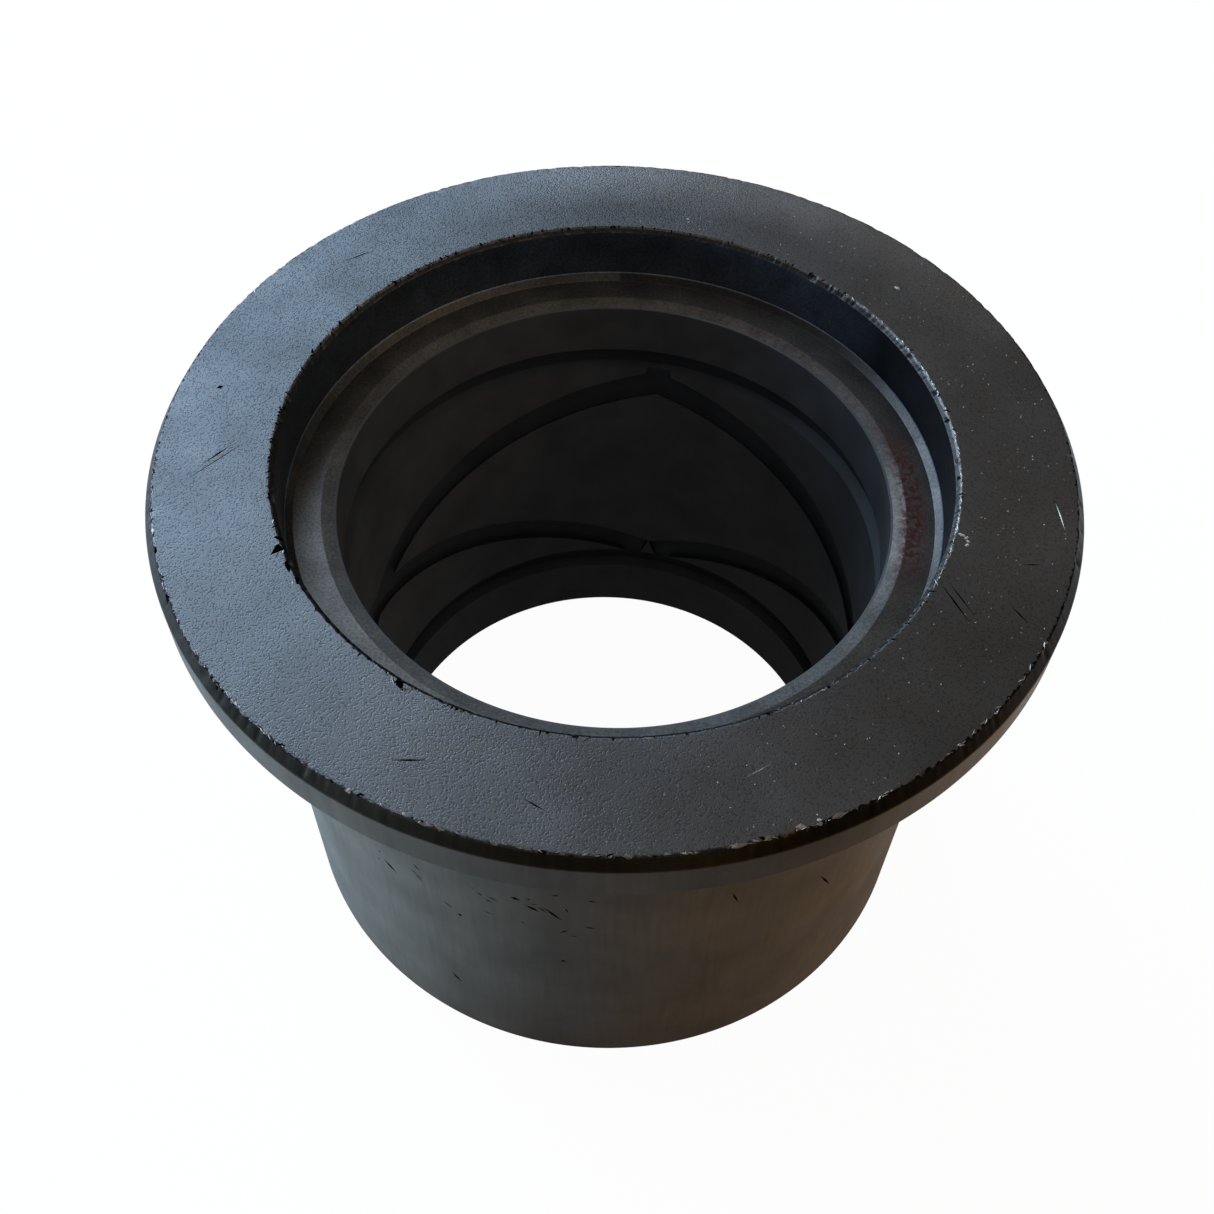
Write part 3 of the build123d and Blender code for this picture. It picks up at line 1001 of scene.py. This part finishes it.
def seal_seat(finish):
    """The seat as the tool left it: fine rings and rust in places, with painted light and shade, and
    the lip's right painted bright as wear and a painted highlight.
    """
    material, tree, out = new_material("turned seal seat with thin rust")
    fields = surface_fields(tree)
    # The tool's rings, one feed of about 0.22 mm apart, run on from the wall over the shelf
    along = add(tree, "ShaderNodeMath", {0: fields["radius"], 1: fields["height"]},
                operation="ADD")
    rings = add(tree, "ShaderNodeTexNoise", {
        "W": along.outputs[0], "Scale": 1 / 0.22, "Detail": 2.0}, noise_dimensions="1D")
    wall = stretch(tree, fields, radius=(58.75, 58.95, 59.8, 60.0),
                   height=(89.9, 90.1, 110.0, 110.2))
    foot = stretch(tree, fields, radius=(57.64, 57.8, 58.77, 58.93))
    shelf = stretch(tree, fields, radius=(52.57, 52.73, 57.64, 57.8))
    lead = stretch(tree, fields, radius=(44.92, 45.08, 52.57, 52.73))
    # Painted shade and light on the seal's wall: darker at the right, lighter elsewhere
    wall_painted_light_and_shade = add(tree, "ShaderNodeMapRange", {
        "Value": stretch(tree, fields, angle=(35, 55, 122, 142)), "To Min": 2.0, "To Max": 0.25})
    # Painted shade on the seat's foot, deepest at the back right
    foot_painted_shade = add(tree, "ShaderNodeMapRange", {
        "Value": stretch(tree, fields, angle=(112, 132)), "To Min": 0.75, "To Max": 0.3})
    base = add(tree, "ShaderNodeMix", {
        0: wall, 6: (*finish.seat, 1.0), 7: (*finish.wall, 1.0)}, data_type="RGBA")
    # Painted light and shade: the foot lighter at the right, the lip's chamfer darker, the shelf and
    # the lead lighter at the far side, the shelf at the near left and the lead at the right
    coat = toned(tree, base.outputs[2],
                 mottle(tree, fields["place"], 0.5, 0.7, 1.25),
                 mottle(tree, fields["place"], 7, 0.8, 1.2),
                 (wall, wall_painted_light_and_shade.outputs[0]),
                 (foot, foot_painted_shade.outputs[0]),
                 (stretch(tree, fields, foot, angle=(54, 70, 90, 106)), 1.5),
                 (stretch(tree, fields, height=(110.1, 110.3)), 0.4),
                 (stretch(tree, fields, shelf, y=(18, 42)), 1.8),
                 (stretch(tree, fields, shelf, angle=(-97, -73, -34, -10)), 1.6),
                 (stretch(tree, fields, lead, y=(18, 42)), 1.4),
                 (stretch(tree, fields, lead, angle=(60, 76, 90, 106)), 2.0))
    # Rust spreads in flecks of about a millimetre: thick on the shelf, thin elsewhere
    stains = add(tree, "ShaderNodeTexNoise", {
        "Vector": fields["place"], "Scale": 1 / 1.1, "Detail": 6.0, "Roughness": 0.75})
    fields["stain"] = stains.outputs[0]
    rusty = stretch(tree, fields, stain=(0.44, 0.54), angle=(62, 78, 100, 116),
                    radius=(51.0, 52.8, 55.3, 57.1))
    for thin in (
            stretch(tree, fields, lead, 0.55, stain=(0.5, 0.6), angle=(100, 124, 156, 180)),
            stretch(tree, fields, wall, 0.3, stain=(0.5, 0.6), angle=(64, 80, 104, 120),
                    height=(100.5, 103.5, 108.9, 111.9)),
            stretch(tree, fields, lead, 0.6, stain=(0.6, 0.64), angle=(-34, -18, 22, 38))):
        rusty = add(tree, "ShaderNodeMath", {0: rusty, 1: thin}, operation="ADD",
                    use_clamp=True).outputs[0]
    stained = add(tree, "ShaderNodeMix", {0: rusty, 6: coat, 7: (*finish.rust, 1.0)},
                  data_type="RGBA")
    # Bare steel in broken flecks along the lip's top at the right: partly wear, partly a painted
    # highlight where the lip catches the lamps
    broken = mottle(tree, fields["place"], 1.1, -0.5, 0.8)
    bright = stretch(tree, fields, broken, angle=(22, 34, 129, 141), height=(110.64, 110.8))
    worn = add(tree, "ShaderNodeMix", {0: bright, 6: stained.outputs[2], 7: (*finish.bare, 1.0)},
               data_type="RGBA")
    dull = add(tree, "ShaderNodeMapRange", {"Value": rusty, "To Min": 0.42, "To Max": 0.8})
    finish_shader(tree, out, worn.outputs[2], dull.outputs[0], (
        (rings.outputs[0], 0.02, 0.6), (stains.outputs[0], 0.06, 0.5)), metallic=0.85, tint=0.7)
    return material


def oiled_bore(name, colour, level, roughness=0.55):
    """Black with old grease: a soft sheen and no bare metal."""
    material, tree, out = new_material(name)
    fields = surface_fields(tree)
    # Painted shade: darker at the right, fullest between 76 and 114 degrees from the near side
    coat = toned(tree, tuple(colour), mottle(tree, fields["place"], 10, 0.8, 1.2),
                 (stretch(tree, fields, angle=(48, 76, 114, 142)), 0.45))
    # The film of oil dries in wrinkles a little under a millimetre wide
    film = add(tree, "ShaderNodeTexNoise", {
        "Vector": fields["place"], "Scale": 1 / 0.8, "Detail": 2.0})
    finish_shader(tree, out, coat, roughness, ((film.outputs[0], 0.015, 1.0),),
                  metallic=0.0, tint=1.0, level=level)
    return material


def bare_steel(colour):
    """Steel bared by a knock: brighter and rougher than the coat round it."""
    material, tree, out = new_material("knocked bare steel")
    shader = add(tree, "ShaderNodeBsdfPrincipled", {
        "Base Color": (*colour, 1.0), "Metallic": 1.0, "Roughness": 0.45})
    tree.links.new(shader.outputs[0], out.inputs[0])
    return material


class BUSHING_OT_body(bpy.types.Operator):
    """Turn the bushing from its section and cut its grooves and its knocks"""

    bl_idname = "bushing.body"
    bl_label = "Bushing body"

    def execute(self, context):
        sizes, finish = context.scene.bushing_sizes, context.scene.bushing_finish
        materials = {
            "face": collar_face(finish),
            "side": turned_side(finish),
            "seat": seal_seat(finish),
            "bore": oiled_bore("oil-soaked bore", finish.bore, level=0.16),
            "groove": oiled_bore("grease-filled groove", finish.grease, level=0.1),
            "nick": oiled_bore("oil-filled knock", finish.dirt, level=0.04, roughness=0.9),
            "bare": bare_steel(finish.bare),
        }
        section = section_object(sizes)
        marks = listed_marks(sizes) + random_marks(sizes, finish.seed)
        gouges = points_object("marks", marks)
        modifier = section.modifiers.new("turning", "NODES")
        modifier.node_group = turned_tree(materials, max(layered(marks)) + 1)
        set_inputs(modifier, {
            "Turning radius": sizes.body_radius, "Height": sizes.height,
            "Bore radius": sizes.bore_radius, "Seat radius": sizes.seat_radius,
            "Collar radius": sizes.collar_radius, "Groove width": sizes.groove_width,
            "Groove floor": sizes.groove_floor, "Groove depth": sizes.groove_depth,
            "Upper ring": sizes.upper_ring, "Lower ring": sizes.lower_ring,
            "Zigzag turn": sizes.zigzag_turn, "Lip wear": finish.lip_wear,
            "Edge wear": finish.edge_wear, "Columns": sizes.columns, "Marks": gouges})
        piece = plain_mesh(section, "bushing")
        section.modifiers.clear()
        for helper in (section, gouges):
            bpy.data.objects.remove(helper)
        if len(piece.data.polygons) < sizes.columns:
            raise RuntimeError("the bushing came out empty")
        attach(piece, BODY)
        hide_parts(NODE)
        return {"FINISHED"}


# Grit stuck to the collar's face: X and Y, and length, width and height in millimetres
STUCK_GRIT = (
    (58.1, -18.1, 1.3, 0.6, 0.5),
    (58.8, -18.7, 0.9, 0.5, 0.4),
    (59.0, -19.5, 0.7, 0.5, 0.4),
    (58.7, -20.3, 0.8, 0.6, 0.5),
    (53.2, 43.5, 1.2, 0.7, 0.3),
    (13.3, 62.6, 0.7, 0.5, 0.2),
    (-37.4, -70.1, 0.8, 0.5, 0.3),
    (-28.9, -73.7, 0.6, 0.4, 0.2),
    (31.0, -72.6, 0.7, 0.5, 0.2),
)

# Burrs raised on the seal's lip: angle, radius, length, width and height, and turn from the radius
LIP_BURRS = (
    (-33.2, 60.4, 2.2, 0.4, 0.6, 50),
    (-30.9, 60.7, 1.8, 0.35, 0.5, 120),
    (-64.3, 60.9, 1.6, 0.3, 0.4, 40),
    (-58.0, 60.6, 1.2, 0.3, 0.3, 70),
    (-24.5, 60.3, 1.4, 0.3, 0.4, 80),
)

# How many more there are of each, the shares of the fine grit and of the lip's burrs that lie at the
# right, and between which angles those burrs stand
LOOSE_GRIT = 260
SMALL_BURRS = 130
EDGE_BURRS = 150
GRIT_RIGHT = 0.75
BURRS_RIGHT = 0.85
BURRED = (28, 134)


def grit_places(sizes, seed):
    """The listed grit, and fine dust that lies thickest at the face's right."""
    draw = random.Random(seed + 1)
    top = sizes.height / MM
    up = Vector((0, 0, 1))
    places = [mark(Vector((x, y, top)) * MM, Vector((1, draw.uniform(-1, 1), 0)), up,
                   (length, width, height / 2), False)
              for x, y, length, width, height in STUCK_GRIT]
    for _ in range(LOOSE_GRIT):
        angle = draw.uniform(10, 170) if draw.random() < GRIT_RIGHT else draw.uniform(-190, 10)
        radius = draw.uniform(61.5, 78.5)
        size = draw.uniform(0.12, 0.3)
        places.append(knock(angle, radius, top, (size, size * 0.8, size * 0.3),
                            draw.uniform(0, 180), False))
    return places


def burr_places(sizes, seed):
    """The listed burrs, and fine ones along the lip, mostly at the right."""
    draw = random.Random(seed + 2)
    top = sizes.height / MM
    places = [knock(angle, radius, top, (length, width, height / 2), heading, True)
              for angle, radius, length, width, height, heading in LIP_BURRS]
    for _ in range(SMALL_BURRS):
        at_right = draw.random() < BURRS_RIGHT
        angle = draw.uniform(*BURRED) if at_right else draw.uniform(-180, 20)
        radius = sizes.seat_radius / MM + draw.uniform(0.8, 1.0)
        size = (draw.uniform(0.5, 1.7), draw.uniform(0.12, 0.3), draw.uniform(0.06, 0.16))
        places.append(knock(angle, radius, top, size, 90 + draw.gauss(0, 22), True))
    for _ in range(EDGE_BURRS):
        angle = draw.uniform(-85, 60)
        radius = sizes.collar_radius / MM - draw.uniform(1.45, 1.85)
        size = (draw.uniform(0.4, 1.5), draw.uniform(0.1, 0.26), draw.uniform(0.05, 0.14))
        places.append(knock(angle, radius, top, size, 90 + draw.gauss(0, 16), True))
    return places


def scatter_tree(name, shape, settings, material):
    """Sets one faceted lump on each point, to the point's sizes and heading."""
    tree = bpy.data.node_groups.new(name, "GeometryNodeTree")
    group_input(tree, "Places", "NodeSocketGeometry")
    group_input(tree, "Unevenness", "NodeSocketFloat")
    tree.interface.new_socket("Lumps", in_out="OUTPUT", socket_type="NodeSocketGeometry")
    given = tree.nodes.new("NodeGroupInput").outputs
    out = tree.nodes.new("NodeGroupOutput")
    lump = add(tree, shape, settings)
    lumps = set_on_points(tree, given["Places"], lump.outputs[0])
    # Bumps about 0.4 mm wide make each lump uneven
    swell = add(tree, "ShaderNodeTexNoise", {"Scale": 1 / (0.4 * MM), "Detail": 1.0})
    centred = add(tree, "ShaderNodeVectorMath", {0: swell.outputs["Color"], 1: (0.5, 0.5, 0.5)},
                  operation="SUBTRACT")
    shift = add(tree, "ShaderNodeVectorMath", {
        0: centred.outputs[0], "Scale": given["Unevenness"]}, operation="SCALE")
    uneven = add(tree, "GeometryNodeSetPosition", {
        "Geometry": lumps, "Offset": shift.outputs[0]})
    dressed = add(tree, "GeometryNodeSetMaterial", {
        "Geometry": uneven.outputs[0], "Material": material})
    tree.links.new(dressed.outputs[0], out.inputs[0])
    return tree


def scatter(name, places, shape, settings, material, unevenness):
    """A group of lumps as one plain piece that rides on the bushing."""
    host = points_object(name + " places", places)
    modifier = host.modifiers.new("scatter", "NODES")
    modifier.node_group = scatter_tree(name, shape, settings, material)
    set_inputs(modifier, {"Unevenness": unevenness})
    piece = plain_mesh(host, name)
    host.modifiers.clear()
    bpy.data.objects.remove(host)
    if not piece.data.polygons:
        raise RuntimeError(name + " came out empty")
    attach(piece, BODY)


def dried_grit(colour):
    """Dried mud and grit: chalky and pale against the black coat."""
    material, tree, out = new_material("pale dried grit")
    shader = add(tree, "ShaderNodeBsdfPrincipled", {
        "Base Color": (*colour, 1.0), "Roughness": 0.9, "Specular IOR Level": 0.2})
    tree.links.new(shader.outputs[0], out.inputs[0])
    return material


class BUSHING_OT_grit(bpy.types.Operator):
    """Stick dried grit to the collar's face"""

    bl_idname = "bushing.grit"
    bl_label = "Stuck grit"

    def execute(self, context):
        sizes, finish = context.scene.bushing_sizes, context.scene.bushing_finish
        scatter("stuck_grit", grit_places(sizes, finish.seed), "GeometryNodeMeshIcoSphere",
                {"Radius": 1.0, "Subdivisions": 2}, dried_grit(finish.pale), 0.25 * MM)
        return {"FINISHED"}


class BUSHING_OT_burrs(bpy.types.Operator):
    """Raise the burrs along the seal's lip"""

    bl_idname = "bushing.burrs"
    bl_label = "Lip burrs"

    def execute(self, context):
        sizes, finish = context.scene.bushing_sizes, context.scene.bushing_finish
        scatter("lip_burrs", burr_places(sizes, finish.seed), "GeometryNodeMeshUVSphere",
                {"Segments": 4, "Rings": 2, "Radius": 1.0}, bare_steel(finish.bare), 0.1 * MM)
        return {"FINISHED"}


# Camera, in the part's own frame, in metres and radians: found from the rims' ellipses
CAMERA_PLACE = (0.0, -0.17251, 0.29219)
CAMERA_YAW = -0.0196
CAMERA_DOWN = 0.9434
CAMERA_ROLL = 0.0134
CAMERA_LENS_MM = 42.17
CAMERA_SENSOR_MM = 36.0
CAMERA_SHIFT = (0.0114, 0.0243)


def camera():
    """The camera at the photograph's place and angle."""
    ahead = Vector((math.sin(CAMERA_YAW) * math.cos(CAMERA_DOWN),
                    math.cos(CAMERA_YAW) * math.cos(CAMERA_DOWN), -math.sin(CAMERA_DOWN)))
    level = Vector((math.cos(CAMERA_YAW), -math.sin(CAMERA_YAW), 0))
    above = level.cross(ahead)
    right = math.cos(CAMERA_ROLL) * level + math.sin(CAMERA_ROLL) * above
    up = -math.sin(CAMERA_ROLL) * level + math.cos(CAMERA_ROLL) * above
    data = bpy.data.cameras.new("camera")
    data.sensor_width = CAMERA_SENSOR_MM
    data.lens = CAMERA_LENS_MM
    data.shift_x, data.shift_y = CAMERA_SHIFT
    data.clip_start = 0.01
    seen = bpy.data.objects.new("camera", data)
    turn = Matrix((right, up, -ahead)).transposed().to_4x4()
    seen.matrix_world = Matrix.Translation(CAMERA_PLACE) @ turn
    bpy.context.collection.objects.link(seen)
    bpy.context.scene.camera = seen


# Softboxes: how far round from +Y towards -X and how high they stand, in degrees, their distance,
# width and height in metres, and their colour
WINDOW = (42, 28, 1.6, 1.8, 1.2, "#bfdfff")
SIDE_WINDOW = (84, 8, 1.3, 0.8, 0.3, "#cfe2ff")
FILL = (-110, 35, 1.6, 1.0, 0.8, "#ffdcb8")

# How much of the paper's own white the camera sees, and how much of it the steel mirrors
PAPER_SEEN = 0.97
PAPER_MIRRORED = 0.1

# The room's light from its horizon to its ceiling, and between which heights it grows
ROOM_LIGHT = (0.06, 0.5)
ROOM_RISE = (0.1, 0.75)


def softbox(name, power, layout):
    """An area light that looks at the bushing."""
    azimuth, elevation, distance, width, height, colour = layout
    turn, rise = math.radians(azimuth), math.radians(elevation)
    place = Vector((-math.sin(turn) * math.cos(rise), math.cos(turn) * math.cos(rise),
                    math.sin(rise))) * distance
    data = bpy.data.lights.new(name, "AREA")
    data.shape = "RECTANGLE"
    data.size, data.size_y = width, height
    data.energy = power
    data.color = linear(colour)
    lamp = bpy.data.objects.new(name, data)
    lamp.location = place
    lamp.rotation_mode = "QUATERNION"
    lamp.rotation_quaternion = (-place).to_track_quat("-Z", "Y")
    bpy.context.collection.objects.link(lamp)


def floor_material():
    """Matt white paper: it shows white behind the bushing and keeps its soft shadow."""
    material, tree, out = new_material("matt white paper")
    rays = add(tree, "ShaderNodeLightPath")
    mirrored = add(tree, "ShaderNodeMath", {
        0: rays.outputs["Is Glossy Ray"], 1: rays.outputs["Is Transmission Ray"]},
        operation="MAXIMUM")
    dimmed = add(tree, "ShaderNodeMath", {0: mirrored.outputs[0], 1: PAPER_MIRRORED},
                 operation="MULTIPLY")
    straight = add(tree, "ShaderNodeMath", {0: rays.outputs["Is Camera Ray"], 1: PAPER_SEEN},
                   operation="MULTIPLY")
    share = add(tree, "ShaderNodeMath", {0: straight.outputs[0], 1: dimmed.outputs[0]},
                operation="MAXIMUM")
    paper = add(tree, "ShaderNodeBsdfDiffuse", {"Color": (0.8, 0.8, 0.8, 1.0)})
    glow = add(tree, "ShaderNodeEmission", {"Color": (1, 1, 1, 1), "Strength": 1.0})
    mixed = add(tree, "ShaderNodeMixShader", {
        0: share.outputs[0], 1: paper.outputs[0], 2: glow.outputs[0]})
    tree.links.new(mixed.outputs[0], out.inputs[0])
    return material


def studio_world():
    """A dim room: dark round the horizon and a pale ceiling."""
    world = bpy.data.worlds.new("studio")
    world.use_nodes = True
    tree = world.node_tree
    tree.nodes.clear()
    place = add(tree, "ShaderNodeTexCoord")
    axes = add(tree, "ShaderNodeSeparateXYZ", {0: place.outputs["Generated"]})
    level = add(tree, "ShaderNodeMapRange", {
        "Value": axes.outputs[2], "From Min": ROOM_RISE[0], "From Max": ROOM_RISE[1],
        "To Min": ROOM_LIGHT[0], "To Max": ROOM_LIGHT[1]}, interpolation_type="SMOOTHSTEP")
    back = add(tree, "ShaderNodeBackground", {
        "Color": (*linear("#fffaf2"), 1), "Strength": level.outputs[0]})
    out = add(tree, "ShaderNodeOutputWorld", {0: back.outputs[0]})
    out.is_active_output = True
    return world


class BUSHING_OT_stage(bpy.types.Operator):
    """Lay the floor, hang the lights and set the camera"""

    bl_idname = "bushing.stage"
    bl_label = "Stage"

    def execute(self, context):
        stage = context.scene.bushing_stage
        bpy.ops.mesh.primitive_circle_add(vertices=96, radius=stage.floor_radius, fill_type="NGON",
                                          location=(0, 0, 0))
        floor = context.object
        floor.name = "floor"
        floor.data.materials.append(floor_material())
        softbox("window", stage.window_power, WINDOW)
        softbox("side window", stage.side_power, SIDE_WINDOW)
        softbox("fill", stage.fill_power, FILL)
        context.scene.world = studio_world()
        camera()
        context.scene.view_settings.view_transform = "Standard"
        return {"FINISHED"}


class BUSHING_PT_panel(bpy.types.Panel):
    """The bushing's sizes, finish and stage"""

    bl_idname = "BUSHING_PT_panel"
    bl_label = "Bushing"
    bl_space_type = "VIEW_3D"
    bl_region_type = "UI"
    bl_category = "Bushing"

    def draw(self, context):
        for group in (context.scene.bushing_sizes, context.scene.bushing_finish,
                      context.scene.bushing_stage):
            box = self.layout.box()
            for name in group.__annotations__:
                box.prop(group, name)
        for operator in OPERATORS:
            self.layout.operator(operator.bl_idname)


OPERATORS = (BUSHING_OT_body, BUSHING_OT_grit, BUSHING_OT_burrs, BUSHING_OT_stage)
GROUPS = {"bushing_sizes": BushingSizes, "bushing_finish": BushingFinish,
          "bushing_stage": BushingStage}


def register():
    for group in GROUPS.values():
        bpy.utils.register_class(group)
    for name, group in GROUPS.items():
        setattr(bpy.types.Scene, name, bpy.props.PointerProperty(type=group))
    for operator in OPERATORS:
        bpy.utils.register_class(operator)
    bpy.utils.register_class(BUSHING_PT_panel)


def unregister():
    bpy.utils.unregister_class(BUSHING_PT_panel)
    for operator in reversed(OPERATORS):
        bpy.utils.unregister_class(operator)
    for name in GROUPS:
        delattr(bpy.types.Scene, name)
    for group in reversed(list(GROUPS.values())):
        bpy.utils.unregister_class(group)


def main():
    register()
    bpy.ops.bushing.body()
    bpy.ops.bushing.grit()
    bpy.ops.bushing.burrs()
    bpy.ops.bushing.stage()


if __name__ == "__main__":
    main()
